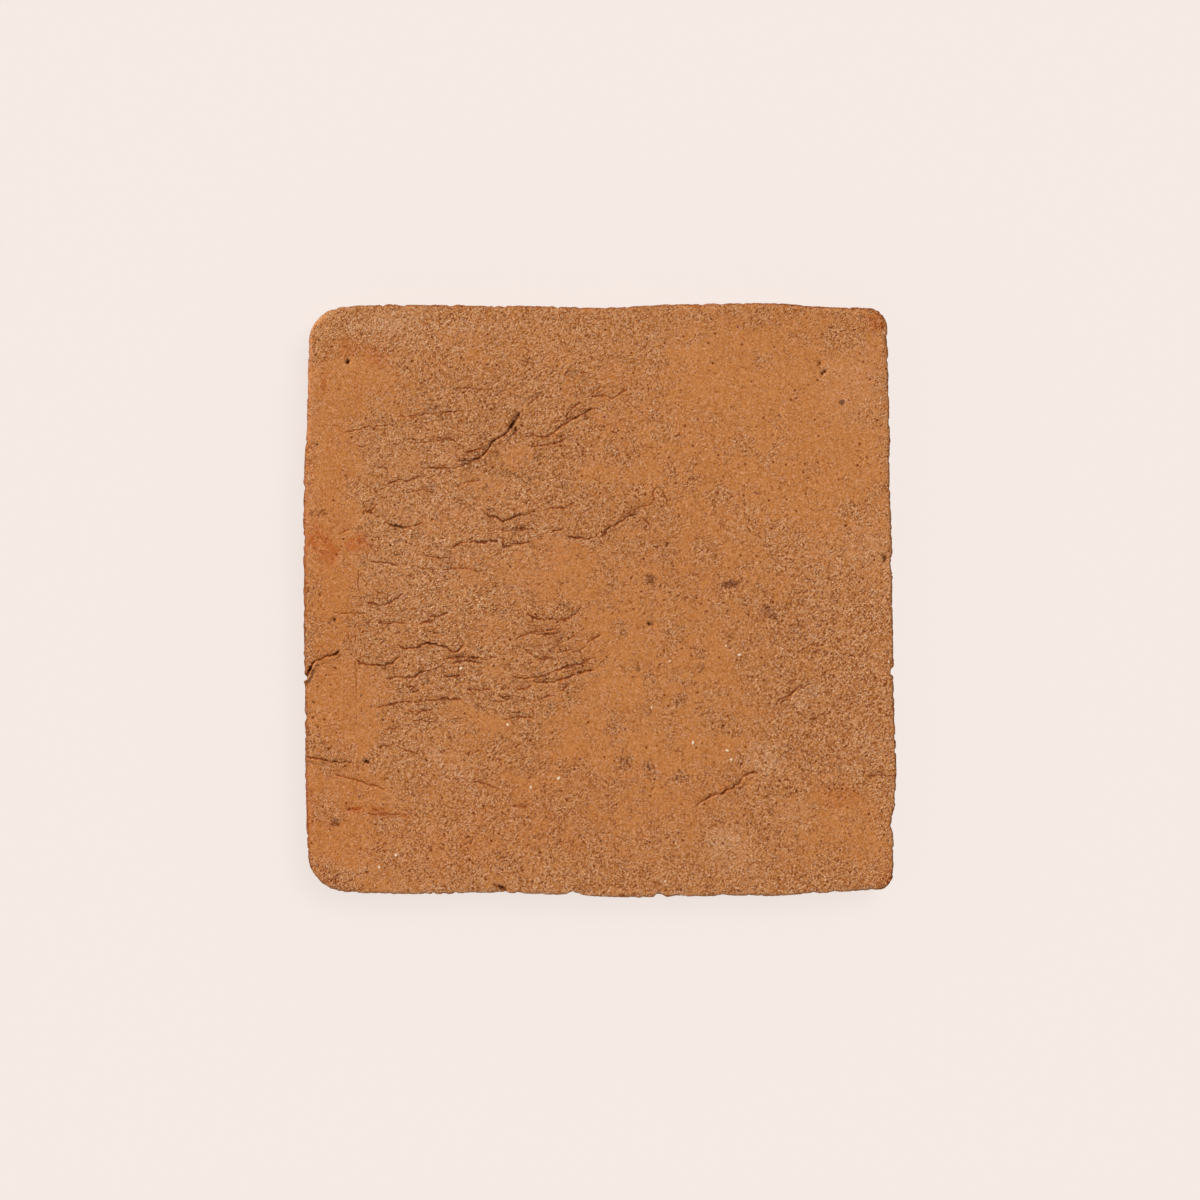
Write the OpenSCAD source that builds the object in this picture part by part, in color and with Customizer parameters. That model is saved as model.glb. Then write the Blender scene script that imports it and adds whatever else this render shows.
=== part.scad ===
// Handmade terracotta floor tile: one slab of clay, pressed by hand into a sanded wooden
// frame, tipped out, dried and fired. It lies on its flat underside with the sanded face up.
// X runs from the left side to the right, Y from the front side to the back.
// The clay filled the frame less well at the left, so that side has the roundest corners.

/* [Tile] */
// Width of the tile from left to right, at its widest
tile_w = 200; // [100:1:400]
// Depth of the tile from front to back, at its widest
tile_d = 200.5; // [100:0.5:400]
// Thickness of the tile, at its thickest
tile_t = 20; // [10:0.5:50]

/* [Corners] */
// Radius of the back right corner, seen from above
back_right_r = 6; // [2:0.5:25]
// Radius of the back left corner, seen from above
back_left_r = 10.5; // [2:0.5:25]
// Radius of the front left corner, seen from above
front_left_r = 10.8; // [2:0.5:25]
// Radius of the front right corner, seen from above
front_right_r = 4; // [2:0.5:25]

/* [Edges] */
// Rounding of the upper edge along the right side
right_arris = 0.7; // [0.4:0.1:4]
// Rounding of the upper edge along the back side
back_arris = 0.9; // [0.4:0.1:4]
// Rounding of the upper edge along the left side
left_arris = 1.2; // [0.4:0.1:4]
// Rounding of the upper edge along the front side
front_arris = 0.7; // [0.4:0.1:4]
// Rounding of the lower edge, the same all round
foot_round = 0.8; // [0.2:0.1:2]
// How far the sides lean in from their widest line down to the lower edge
side_lean = 0.6; // [0:0.1:2]

/* [Handwork] */
// How far in from the widest line the most hollow stretch of a side lies
side_wander = 3.2; // [0:0.1:5]
// Length of the longest chip along a side
chip_l = 9; // [2:0.5:20]
// Depth of the deepest chip into a side
chip_depth = 1.3; // [0:0.1:2.5]
// Height from the lowest hollow to the highest crown of the upper face
face_sway = 0.6; // [0:0.1:2]

/* [Hidden] */

// The four sides and corners are numbered counter-clockwise, as seen from above.
// Side 0 is the right one, and corner 0 joins it to side 1, the back one.
RIGHT = 0;
BACK = 1;
LEFT = 2;
FRONT = 3;
CORNER_R = [back_right_r, back_left_r, front_left_r, front_right_r];
CORNER_SIGN = [[1, 1], [-1, 1], [-1, -1], [1, -1]];
ARRIS = [right_arris, back_arris, left_arris, front_arris];

// Each side at even steps, from front to back or from left to right:
// 0 is the widest line of the tile, and 1 lies side_wander in from it.
SIDE_CURVE = [
    [0.40, 0.25, 0.00, 0.20, 0.30, 0.40, 0.45, 0.70, 0.70, 0.87, 1.00],
    [0.75, 0.30, 0.27, 0.38, 0.40, 0.60, 0.30, 0.15, 0.10, 0.50, 0.60],
    [0.80, 0.45, 0.30, 0.30, 0.15, 0.10, 0.10, 0.10, 0.45, 0.60, 0.75],
    [0.85, 0.45, 0.35, 0.50, 0.35, 0.10, 0.00, 0.18, 0.21, 0.54, 0.90]
];

// Chips: side, place along it from -1 to 1, length and depth against the largest.
CHIPS = [
    [FRONT, -0.335, 0.5, 0.3], [FRONT, -0.085, 0.85, 0.8], [FRONT, 0.205, 0.47, 1.0],
    [FRONT, 0.27, 0.6, 0.45], [FRONT, 0.42, 0.5, 0.3], [FRONT, 0.73, 0.3, 0.5],
    [RIGHT, -0.77, 1.0, 0.75], [RIGHT, -0.25, 0.45, 0.6], [RIGHT, 0.13, 0.6, 0.4]
];

// How finely the sides, corners and edges are drawn.
SIDE_STEPS = 50;
CORNER_STEPS = 6;
ARRIS_STEPS = 3;
FACE_STEPS = 5;
CHIP_CUTS = 4;

function mix(a, b, share) = a + (b - a) * share;

// A smooth curve through evenly spaced values, for s from -1 to 1.
function curve_at(values, s) =
    let (last = len(values) - 1, t = (s + 1) / 2 * last,
         i = max(0, min(floor(t), last - 1)), f = t - i,
         before = values[max(i - 1, 0)], here = values[i],
         next = values[i + 1], after = values[min(i + 2, last)])
    here + f / 2 * (next - before
        + f * (2 * before - 5 * here + 4 * next - after
            + f * (3 * here - before - 3 * next + after)));

// How far a chip is cut in, for t from -1 to 1 along it.
function chip_shape(t) = abs(t) < 1 ? 1 - t * t : 0;

function chips_at(side, s, half_l) = max([for (c = CHIPS)
    c[0] == side ? chip_depth * c[3] * chip_shape((s - c[1]) * half_l / (chip_l * c[2] / 2)) : 0]);

// How far a side lies in from the widest line, at the place s along it.
function side_at(side, s, half_l) =
    side_wander * curve_at(SIDE_CURVE[side], s) + chips_at(side, s, half_l);

// The upper face crowns and sags gently where the clay was struck off by hand.
function thickness_at(x, y) =
    let (u = 360 * x / tile_w, v = 360 * y / tile_d)
    tile_t - face_sway * (0.5 - 0.28 * cos(0.8 * u + 0.35 * v) - 0.22 * cos(0.55 * v - 0.3 * u + 50));

// Bends a point of the straight-sided slab to the hand-pressed shape.
function pressed(p) =
    let (x_side = p.x > 0 ? RIGHT : LEFT, y_side = p.y > 0 ? BACK : FRONT,
         s_along_y = p.y / (tile_d / 2), s_along_x = p.x / (tile_w / 2))
    [p.x * (1 - side_at(x_side, s_along_y, tile_d / 2) / (tile_w / 2)),
     p.y * (1 - side_at(y_side, s_along_x, tile_w / 2) / (tile_d / 2)),
     p.z * thickness_at(p.x, p.y) / tile_t];

// The section of a side whose arris is a: inset and height from the foot to the upper face.
function section(a) = concat(
    [for (angle = [0, 45, 90]) [side_lean + foot_round * (1 - sin(angle)), foot_round * (1 - cos(angle))]],
    [[0, mix(foot_round, tile_t - a, 0.6)]],
    [for (i = [0:ARRIS_STEPS]) let (angle = 90 * i / ARRIS_STEPS)
        [a * (1 - cos(angle)), tile_t - a * (1 - sin(angle))]]);
SECTIONS = [for (a = ARRIS) section(a)];
SECTION_RINGS = len(SECTIONS[0]);

// A point on corner k at level j of the section; share runs from 0 to 1 round the corner.
function corner_point(k, j, share) =
    let (sign = CORNER_SIGN[k], next = (k + 1) % 4,
         x_in = SECTIONS[sign.x > 0 ? RIGHT : LEFT][j][0],
         y_in = SECTIONS[sign.y > 0 ? BACK : FRONT][j][0],
         r = max(CORNER_R[k] - max(x_in, y_in), CORNER_R[k] / 4), angle = 90 * (k + share))
    [sign.x * (tile_w / 2 - x_in - r) + r * cos(angle),
     sign.y * (tile_d / 2 - y_in - r) + r * sin(angle),
     mix(SECTIONS[k][j][1], SECTIONS[next][j][1], share)];

// Where a side's points lie, from 0 to 1 the way the sides are numbered. Steps beside a chip are cut up.
SIDE_WAY = [1, -1, -1, 1];
HALF_SIDE = [tile_d / 2, tile_w / 2, tile_d / 2, tile_w / 2];
function has_chip(side, s) = len([for (c = CHIPS)
    if (c[0] == side && abs(s - c[1]) < chip_l * c[2] / 2 / HALF_SIDE[side] + 2 / SIDE_STEPS) c]) > 0;
SHARES = [for (k = [0:3]) [for (i = [0:SIDE_STEPS - 1])
    let (cuts = has_chip(k, SIDE_WAY[k] * ((2 * i + 1) / SIDE_STEPS - 1)) ? CHIP_CUTS : 1)
    each [for (m = [0:cuts - 1]) if (i + m > 0) (i + m / cuts) / SIDE_STEPS]]];

// One level of the slab: each side from the corner before it, and then its own corner.
function ring(j) = [for (k = [0:3]) each concat(
    [for (share = SHARES[k]) mix(corner_point((k + 3) % 4, j, 1), corner_point(k, j, 0), share)],
    [for (i = [0:CORNER_STEPS]) corner_point(k, j, i / CORNER_STEPS)])];

// The upper face is the last level, drawn in towards the middle of the tile.
function face_ring(share) = [for (p = ring(SECTION_RINGS - 1)) [p.x * share, p.y * share, p.z]];

SLAB_RINGS = concat(
    [for (j = [0:SECTION_RINGS - 1]) ring(j)],
    [for (i = [1:FACE_STEPS - 1]) face_ring(1 - i / FACE_STEPS)]);
PRESSED_POINTS = [for (level = SLAB_RINGS) each [for (p = level) pressed(p)]];
FACE_MIDDLE = pressed([0, 0, tile_t]);

// The pressed slab is moved so that the middle of its box stands over the origin.
function middle(values) = (min(values) + max(values)) / 2;
BOX_MIDDLE = [middle([for (p = PRESSED_POINTS) p.x]), middle([for (p = PRESSED_POINTS) p.y]), 0];

module tile() {
    rings = len(SLAB_RINGS);
    n = len(SLAB_RINGS[0]);
    points = [for (p = concat(PRESSED_POINTS, [FACE_MIDDLE])) p - BOX_MIDDLE];
    underside = [[for (i = [0:n - 1]) i]];
    walls = [for (j = [0:rings - 2], i = [0:n - 1])
        let (a = j * n + i, b = j * n + (i + 1) % n)
        each [[a, a + n, b + n], [a, b + n, b]]];
    crown = [for (i = [0:n - 1]) [(rings - 1) * n + i, rings * n, (rings - 1) * n + (i + 1) % n]];
    color("#c17c45") polyhedron(points, concat(underside, walls, crown));
}

tile();
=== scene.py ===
import math

import bmesh
import bpy
import numpy as np
from mathutils import Matrix, Vector, noise
from mathutils.bvhtree import BVHTree


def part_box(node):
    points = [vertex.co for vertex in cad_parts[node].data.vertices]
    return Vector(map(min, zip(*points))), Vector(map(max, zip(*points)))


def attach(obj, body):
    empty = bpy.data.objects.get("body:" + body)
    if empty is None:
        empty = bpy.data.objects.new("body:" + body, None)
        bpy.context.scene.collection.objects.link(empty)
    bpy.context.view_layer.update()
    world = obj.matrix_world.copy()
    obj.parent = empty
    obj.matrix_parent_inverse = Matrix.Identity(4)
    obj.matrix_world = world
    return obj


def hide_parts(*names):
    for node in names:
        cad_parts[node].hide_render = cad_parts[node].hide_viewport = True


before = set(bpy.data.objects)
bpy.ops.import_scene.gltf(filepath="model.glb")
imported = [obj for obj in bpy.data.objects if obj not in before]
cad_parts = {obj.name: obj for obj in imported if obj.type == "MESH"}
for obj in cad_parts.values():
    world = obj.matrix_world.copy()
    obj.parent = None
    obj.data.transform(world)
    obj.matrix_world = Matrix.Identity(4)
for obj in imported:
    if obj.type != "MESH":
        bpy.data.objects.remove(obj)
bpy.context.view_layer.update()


# ---- The slab ------------------------------------------------------------------------------
# One slab of soft red clay, thrown by hand into a sanded wooden frame and struck off level.
# Its plan, corners and swells are those of the CAD solid: a finely cut box is pressed on to it.

MM = 0.001
low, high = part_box("tile")
slab_size = high - low
slab_middle = (low + high) / 2
coarse_cell = 4 * MM
fine_cuts = 3
arris_band = 3 * MM
skin_depth = slab_size.z / 2
# The foot starts at foot_height, and keeps the CAD solid's own round up to foot_band.
foot_height = 0.05 * MM
foot_band = 1 * MM
easing_passes = 2

slab = bmesh.new()
bmesh.ops.create_cube(slab, size=1, matrix=Matrix.Translation(slab_middle) @ Matrix.Diagonal((*slab_size, 1)))


def cut_along(axis, cuts):
    """Cuts every edge of the box that runs along one axis into equal lengths."""
    along = [e for e in slab.edges if abs((e.verts[1].co - e.verts[0].co).normalized()[axis]) > 0.9]
    bmesh.ops.subdivide_edges(slab, edges=along, cuts=cuts, use_grid_fill=True)


for axis in range(3):
    cut_along(axis, round(slab_size[axis] / coarse_cell) - 1)

# The underside keeps coarse cells. What shows is cut to 1 mm, and the upper edge to half of that.
shown = [e for e in slab.edges if any(f.normal.z > -0.5 for f in e.link_faces)]
bmesh.ops.subdivide_edges(slab, edges=shown, cuts=fine_cuts, use_grid_fill=True)


def side_distance(p):
    """How far in from the nearest side of the box a point lies."""
    return min(slab_size.x / 2 - abs(p.x - slab_middle.x), slab_size.y / 2 - abs(p.y - slab_middle.y))


def arris_distance(p):
    """How far a point on the box lies from its upper edge."""
    return max(side_distance(p), high.z - p.z)


upper_edge = [e for e in slab.edges if all(arris_distance(v.co) < arris_band for v in e.verts)]
bmesh.ops.subdivide_edges(slab, edges=upper_edge, cuts=1, use_grid_fill=True)

clay_in_frame = BVHTree.FromObject(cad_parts["tile"], bpy.context.evaluated_depsgraph_get())
core_half = Vector((slab_size.x / 2 - skin_depth, slab_size.y / 2 - skin_depth, 0))


def pressed(p):
    """The point of the CAD surface that a point of the box comes to, straight in from its skin.
    The lower half of the sides is pressed in level, so that the foot follows the plan."""
    core = slab_middle + Vector(max(-c, min(c, d)) for c, d in zip(core_half, p - slab_middle))
    if side_distance(p) < foot_height and p.z < slab_middle.z:
        p = Vector((p.x, p.y, max(p.z, low.z + foot_height)))
        core.z = p.z
    inward = (core - p).normalized()
    hit = clay_in_frame.ray_cast(p - inward * skin_depth, inward)[0]
    return hit if hit else p


for v in slab.verts:
    v.co = pressed(v.co)

# All but the foot is eased a little, which takes the CAD solid's facets off.
eased = [v for v in slab.verts if v.co.z > low.z + foot_band]
for _ in range(easing_passes):
    bmesh.ops.smooth_vert(slab, verts=eased, factor=0.5, use_axis_x=True, use_axis_y=True, use_axis_z=True)


# ---- Folds and cracks ----------------------------------------------------------------------
# The sanded skin of the clay folded and tore as the lump was pushed out to the frame's sides.
# Each fold is a groove with a raised lip on its right and lower side.

# Depth, half the opening of the dark line, and points from the middle of the tile, all in mm.
folds = [
    (1.3, 0.42, [(-26.9, 63.4), (-28.3, 61.2), (-29.5, 59.3), (-30.7, 57.4)]),
    (0.9, 0.22, [(-29.3, 59.6), (-30.6, 57.6), (-31.4, 56.5), (-32.3, 55.5), (-33.8, 55.2),
                 (-35.1, 54.4), (-36.4, 53), (-37.8, 51), (-39.1, 49.1), (-41, 47.5), (-43.2, 46.7)]),
    (0.6, 0.17, [(-40.2, 48.2), (-42.7, 46.8), (-45.7, 47.1), (-49, 46.6)]),
    (0.4, 0.16, [(-39.5, 52.5), (-40.5, 51), (-43.5, 50), (-46.5, 49.5)]),
    (0.35, 0.2, [(-28.1, 58.9), (-28.4, 57), (-28.1, 55)]),
    (0.5, 0.18, [(-26, 55), (-21.5, 55.5), (-17.5, 55), (-15, 57)]),
    (0.6, 0.2, [(-16, 56.2), (-14.5, 57.5), (-12.5, 58.9), (-9, 61), (-3.5, 64), (-1, 65)]),
    (0.4, 0.16, [(-12, 61.5), (-9.5, 64.5), (-6, 67)]),
    (0.3, 0.16, [(-3.5, 69), (0.5, 72.5)]),
    (0.4, 0.18, [(-4, 68.5), (1.5, 69), (3.5, 68), (7.5, 70), (10, 71.5)]),
    (0.4, 0.20, [(-75, 45), (-71, 44.5)]),
    (0.4, 0.16, [(-61.5, 44.5), (-55, 44.5), (-49, 44.5), (-43, 46.5)]),
    (0.4, 0.18, [(-73, 38.5), (-68, 40.5), (-64.5, 40), (-62, 41.5), (-59.5, 42)]),
    (0.4, 0.20, [(-80.5, 30.5), (-78.5, 29.5), (-76.5, 30.5), (-75, 33)]),
    (0.6, 0.24, [(-73, 26), (-69.5, 25), (-66, 24.5), (-62.5, 25), (-59, 26.5)]),
    (0.3, 0.14, [(-88.5, 22), (-84.5, 24)]),
    (0.6, 0.22, [(-40, 30), (-38, 28.5), (-35.5, 28), (-32.5, 26.5), (-30, 27.5), (-25.5, 29),
                 (-21, 30)]),
    (0.4, 0.16, [(-17.5, 31), (-12, 31), (-8, 33.5)]),
    (0.5, 0.20, [(-52, 16.5), (-46.5, 19.5), (-40, 19.5), (-35.5, 20), (-33.5, 20)]),
    (0.6, 0.22, [(-33.5, 20), (-32.5, 18.5), (-30.5, 18), (-28.5, 19), (-26.5, 19), (-22, 20)]),
    (0.4, 0.18, [(-29, 24.5), (-23.5, 24)]),
    (0.4, 0.18, [(-17, 22.5), (-11.5, 24.5)]),
    (0.5, 0.20, [(-11.5, 21.5), (-4, 20.5)]),
    (0.6, 0.19, [(-0.5, 20.5), (3.5, 24.5), (7, 26.5), (10.5, 28.5), (13.5, 29)]),
    (0.2, 0.17, [(5, 26.5), (10.5, 30), (13.5, 31.5), (17, 32), (18, 34), (18, 37), (19.5, 38.5),
                 (21, 37), (22, 35), (23, 31)]),
    (0.2, 0.15, [(14, 28.5), (16.5, 26), (17, 24), (15.5, 23.5), (14.5, 25)]),
    (1.8, 0.30, [(-101.5, -29), (-99.4, -26.5), (-97.7, -22.8), (-95.6, -20.2)]),
    (0.9, 0.22, [(-96, -20.6), (-93, -19.4), (-90.4, -18.7), (-87.5, -17.3)]),
    (0.6, 0.20, [(-83, -20), (-80.5, -21.5), (-76.5, -22), (-73, -22), (-70, -21.5), (-69, -20),
                 (-66.5, -18.5)]),
    (0.8, 0.22, [(-69.5, -15), (-65.5, -16.5), (-62, -16), (-58.5, -14.5), (-55, -15), (-52, -16),
                 (-49.5, -17.5), (-48, -17.5), (-46.5, -15.5), (-45, -14)]),
    (0.4, 0.18, [(-75.5, -7.5), (-71.5, -8), (-68.5, -7.5), (-65.5, -8)]),
    (0.4, 0.18, [(-61, -8), (-60, -7.5), (-56.5, -7.5)]),
    (0.4, 0.18, [(-59, -5.5), (-53.5, -5.5), (-51, -4)]),
    (0.2, 0.12, [(-91, -4.5), (-85, -4.5), (-78, -4.5)]),
    (0.5, 0.20, [(-73, -26.5), (-68.5, -26), (-62.5, -26), (-60.5, -24), (-56, -24)]),
    (0.6, 0.22, [(-53, -25.5), (-50, -26), (-46.5, -25)]),
    (0.6, 0.20, [(-53, -20), (-45.5, -19), (-38, -20), (-34.5, -19)]),
    (0.4, 0.16, [(-51, -21.5), (-45, -20.5), (-39, -21.5)]),
    (0.5, 0.20, [(-76, -36.5), (-70, -35), (-63, -34)]),
    (0.5, 0.24, [(-63.5, -31), (-61, -30.5)]),
    (0.5, 0.20, [(-54, -33), (-49, -33.5), (-46, -33.5)]),
    (0.4, 0.18, [(-61, -37.5), (-56, -37)]),
    (0.4, 0.18, [(-75, -50), (-73, -49), (-70, -49.5)]),
    (0.4, 0.16, [(-67, -50.5), (-62, -51.5)]),
    (0.5, 0.18, [(-25.5, -3.5), (-23, -5.5), (-20.5, -6.5), (-14.5, -6.5), (-11.5, -6.5), (-8.5, -5),
                 (-6, -2)]),
    (0.5, 0.18, [(-25.5, -11), (-21.5, -11.5), (-15, -11.5), (-12.5, -10)]),
    (0.4, 0.18, [(-5, -14.5), (0.5, -11.5)]),
    (0.4, 0.16, [(-15, -18.2), (-12, -17.4), (-9.5, -15.9)]),
    (0.5, 0.18, [(-31.5, -25), (-27, -26.5), (-21, -26), (-18, -25.5), (-14.5, -23.5), (-10.5, -22),
                 (-6.5, -21.5), (-3, -19)]),
    (0.6, 0.20, [(-14, -27.5), (-11.5, -26.5), (-8, -24.5), (-4.5, -24), (-1, -23.5)]),
    (0.5, 0.20, [(-45, -30), (-41, -30.5), (-36.5, -30)]),
    (0.5, 0.20, [(-28.5, -30), (-25.5, -30), (-22.5, -28.5)]),
    (0.5, 0.20, [(-21, -34), (-18, -32.5), (-15, -32)]),
    (0.5, 0.20, [(-13.5, -31), (-10.5, -28.5)]),
    (0.4, 0.18, [(-33.5, -33), (-30, -32.5)]),
    (0.4, 0.18, [(-33, -40.5), (-28.5, -39.5), (-22, -39.5)]),
    (0.55, 0.17, [(59, -35), (61.2, -33.4), (63.5, -32.6), (65.5, -30.8), (67, -29.2), (69, -28.9),
                  (72.5, -27.5)]),
    (0.4, 0.14, [(61, -34.6), (63, -33.6), (65, -32.2)]),
    (0.4, 0.14, [(66.2, -31), (67.6, -29.9), (69.5, -29.8)]),
    (0.3, 0.13, [(62, -31.6), (64, -30.4), (65.2, -29.2)]),
    (0.8, 0.2, [(-101, -53), (-96, -53.5), (-91, -54.5), (-86.5, -54.9), (-82.5, -54.3)]),
    (0.4, 0.18, [(-89.5, -59), (-84.5, -60), (-80.5, -61.5), (-78.5, -62), (-72, -64)]),
    (0.5, 0.16, [(-88.3, -92), (-89, -94.5), (-88.8, -96.6)]),
    (0.5, 0.17, [(32, -69.2), (34, -68), (35.8, -67.4), (37, -66.2), (38.8, -65.8), (40.2, -64.9)]),
    (0.7, 0.21, [(39.6, -65.6), (41.6, -65.2), (42.8, -63.9), (44.4, -63.6), (45.6, -62.2), (47, -61.9),
                 (48.2, -60.2)]),
    (0.5, 0.17, [(47.4, -60.6), (48.8, -59.2), (50.6, -58.3), (53.5, -58)]),
    (0.3, 0.14, [(41, -64), (42.6, -62.8), (44, -62.4)]),
    (0.3, 0.16, [(-43, -61), (-38, -62)]),
    (0.3, 0.16, [(-31.5, -69), (-24.5, -70)]),
    (0.1, 0.12, [(-84, -70.4), (-82, -70.6), (-80, -70.2)]),
    (0.1, 0.10, [(-79.5, -71.8), (-76, -72.4), (-73, -71.9), (-70, -72.5), (-66.5, -72.1),
                 (-63, -72.5)]),
    (0.1, 0.11, [(-77.5, -70.6), (-75, -70.9), (-72.5, -70.3)]),
    (0.3, 0.14, [(89, -59.5), (94, -59), (101, -59.5)]),
    (0.1, 0.08, [(-82.6, -7), (-82.3, -25), (-82, -46)]),
    (0.1, 0.07, [(-84.6, -5), (-84.8, -18)]),
    (0.1, 0.07, [(-80.9, -6), (-80.8, -14)]),
    (0.1, 0.08, [(-81.5, 11), (-81.5, 2)]),
    (1.1, 0.24, [(-36.4, -95.4), (-34.6, -96.7), (-33.2, -96.9), (-31.6, -98.4)]),
    (0.4, 0.16, [(-79, -0.5), (-74, -2), (-71, -1), (-68, 1), (-66, 2.5)]),
    (0.3, 0.14, [(-76, 3), (-72, 2), (-70, 1.5)]),
    (0.3, 0.14, [(-57, 55), (-53, 54.5), (-48, 53.5)]),
    (0.4, 0.16, [(-82, 52), (-79, 51.8)]),
    (0.3, 0.14, [(-16.5, -12), (-13, -10.5)]),
    (0.3, 0.14, [(-17, -10.2), (-13, -9.4)]),
    (0.3, 0.14, [(-57, -10.5), (-54, -12)]),
    (0.3, 0.14, [(-24, 66), (-20, 69)]),
    (0.3, 0.14, [(-66, -29.5), (-61, -28.8)]),
    (0.4, 0.16, [(-55, -22), (-52, -23.2)]),
    (0.4, 0.16, [(-26, -16.5), (-21, -20), (-17, -18.8)]),
    # The shallow ones that lie in rows over the rough parts.
    (0.35, 0.12, [(-29, -13), (-22.3, -10.7), (-15.5, -10.1)]),
    (0.35, 0.12, [(-17.8, -16.9), (-11, -13.5), (-7.6, -11.3)]),
    (0.35, 0.12, [(-21.5, -20.8), (-18, -19.9), (-14.5, -19.6)]),
    (0.35, 0.12, [(-9.5, -17.8), (-6.5, -16.9), (-3.5, -14.9)]),
    (0.35, 0.12, [(-15.5, -24.2), (-5.4, -21.4), (-1, -18.6)]),
    (0.4, 0.13, [(-23.4, -27.6), (-15.5, -27.6), (-7.6, -24.8)]),
    (0.35, 0.12, [(-63.9, -34.9), (-58, -33.8), (-50, -33.4)]),
    (0.35, 0.13, [(-38, -33.8), (-33, -34.2), (-29, -32.9)]),
    (0.3, 0.12, [(-74, -43.9), (-70, -43.6), (-67, -42.8)]),
    (0.3, 0.12, [(-63.9, -40.5), (-53.8, -41)]),
    (0.35, 0.12, [(-41, -61.6), (-37, -62.4), (-33.5, -64.7)]),
    (0.3, 0.12, [(-63.9, 52.6), (-53.8, 53.8), (-47, 56)]),
    (0.3, 0.11, [(-87.5, 56), (-78.5, 58.3), (-67.3, 59.4)]),
    (0.3, 0.12, [(-69.5, 61.6), (-58, 62.7), (-45, 63.9)]),
    (0.3, 0.12, [(-50.4, 71.2), (-44, 71.6), (-38, 70.6)]),
    (0.35, 0.12, [(-24.5, 51.5), (-15.5, 52.6), (-7.6, 56)]),
    (0.35, 0.12, [(-39, 23.4), (-27.9, 23.4), (-20, 24.5)]),
    (0.3, 0.12, [(-78.5, 13.3), (-72, 12.6), (-67, 11)]),
    (0.35, 0.12, [(-60.5, 15.5), (-54, 14.2), (-48, 14.4)]),
    (0.3, 0.12, [(-53.8, 10.1), (-46, 10.8), (-38, 9)]),
    (0.3, 0.12, [(-66, 36), (-60, 37.2), (-55, 36.4)]),
    (0.3, 0.12, [(-50, 38), (-44, 40), (-38, 40.4)]),
    (0.3, 0.11, [(66, -18), (70, -15.6), (74, -14.4)]),
    (0.3, 0.11, [(70, -41), (74.5, -38.6), (79, -37.8)]),
]
# How far beside a fold the clay moved, and how far and how tightly the fold wavers about its points, in mm.
fold_reach = 4.0
waver = 0.45
waver_length = 1.8
fine_waver_share = 0.7
fine_waver_times = 2.3
# The share of a fold's length over which each end runs out, and the length in mm over which its depth varies.
tapering_share = 0.12
patch_length = 2.2
seeds_apart = 5

# Pits left by burnt-out straw and lost grains: x, y, radius, depth in mm.
pits = [
    (-84.8, 80.5, 0.55, 1.0), (-85.1, 79.7, 0.5, 0.9), (-65, 78.3, 0.3, 0.5), (-95.5, 52.5, 0.35, 0.5),
    (73.5, 79.2, 0.4, 0.7), (74.1, 79.9, 0.35, 0.7), (75, 76.2, 0.45, 0.8), (75.6, 77, 0.4, 0.7),
    (-77, 29.7, 0.35, 0.4), (-94.4, 1.7, 0.3, 0.4), (22.4, 18.4, 0.3, 0.5), (22.5, 19, 0.3, 0.5),
    (32.2, 45.8, 0.3, 0.4), (32.7, 0.6, 0.35, 0.5), (96, 13.4, 0.5, 0.9), (96.1, 14.4, 0.45, 0.9),
    (-89.5, -6.8, 0.45, 0.8), (-96.2, -34.4, 0.3, 0.4), (-96.7, -39.6, 0.3, 0.4),
    (-95.2, -42.9, 0.3, 0.4), (-88.6, -44.9, 0.3, 0.4), (-79, -54.5, 0.5, 1.0),
    (-78.2, -54.7, 0.45, 1.0), (-84.5, -70.6, 0.4, 0.6), (16.6, -8.2, 0.45, 0.8),
    (17.6, -8.4, 0.3, 0.6), (47.4, -55.5, 0.35, 0.5), (-44.4, -79.9, 0.35, 0.5),
    (-89.6, -74.6, 0.3, 0.2), (-88.2, -75.6, 0.25, 0.2), (49, 71.5, 0.3, 0.4), (38, 80, 0.3, 0.4),
    (63, 34, 0.3, 0.4), (83, 25, 0.35, 0.4), (20, -22, 0.3, 0.3), (41.5, -42.5, 0.4, 0.3),
    (12, 78, 0.3, 0.4), (26, 21, 0.3, 0.4), (-70, 60.5, 0.3, 0.3),
]

# Pale grains of quartz that stand out of the face, and one brown pebble at the end: x, y, radius in mm.
stones = [
    (-46.8, -22.9, 0.33), (-31.2, -41.9, 0.33), (23.6, -20.6, 0.26), (42.6, -15.3, 0.3),
    (46.9, -18.4, 0.23), (17.4, -36.3, 0.33), (31.3, -48.1, 0.3), (43.1, -50.7, 0.4),
    (44.2, -53.8, 0.36), (-69, -86.1, 0.3), (-74.5, -90.2, 0.23), (-13.9, -60, 0.26),
    (-23.3, -63.1, 0.23), (21.9, -94.8, 0.26), (97.5, -20.8, 0.33), (-65.5, 79.9, 0.23),
    (81.6, 66.8, 0.85),
]
stone_rise = 0.15


def stone_fields(plan):
    """How much each point of the plan belongs to a pale grain, and to the pebble, from 0 to 1."""
    share = [np.exp(-(np.hypot(plan[:, 0] - x, plan[:, 1] - y) / r) ** 4) for x, y, r in stones]
    return np.max(share[:-1], axis=0), share[-1]


# Unseeded, this noise starts from the clock. Seeded, the clay tears the same way in every run.
tearing_seed = 11
noise.seed_set(tearing_seed)


def wavered(plan):
    """The plan moved by a small seeded noise, so that a fold drawn through a few points wanders as
    torn clay does."""
    broad = [noise.noise_vector(Vector((x, y, 7.0)) / waver_length) * waver for x, y in plan]
    fine = [noise.noise_vector(Vector((x, y, 3.0)) * fine_waver_times / waver_length) * waver
            * fine_waver_share for x, y in plan]
    moved = [b + f for b, f in zip(broad, fine)]
    return plan + np.array([(m.x, m.y) for m in moved])


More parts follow.
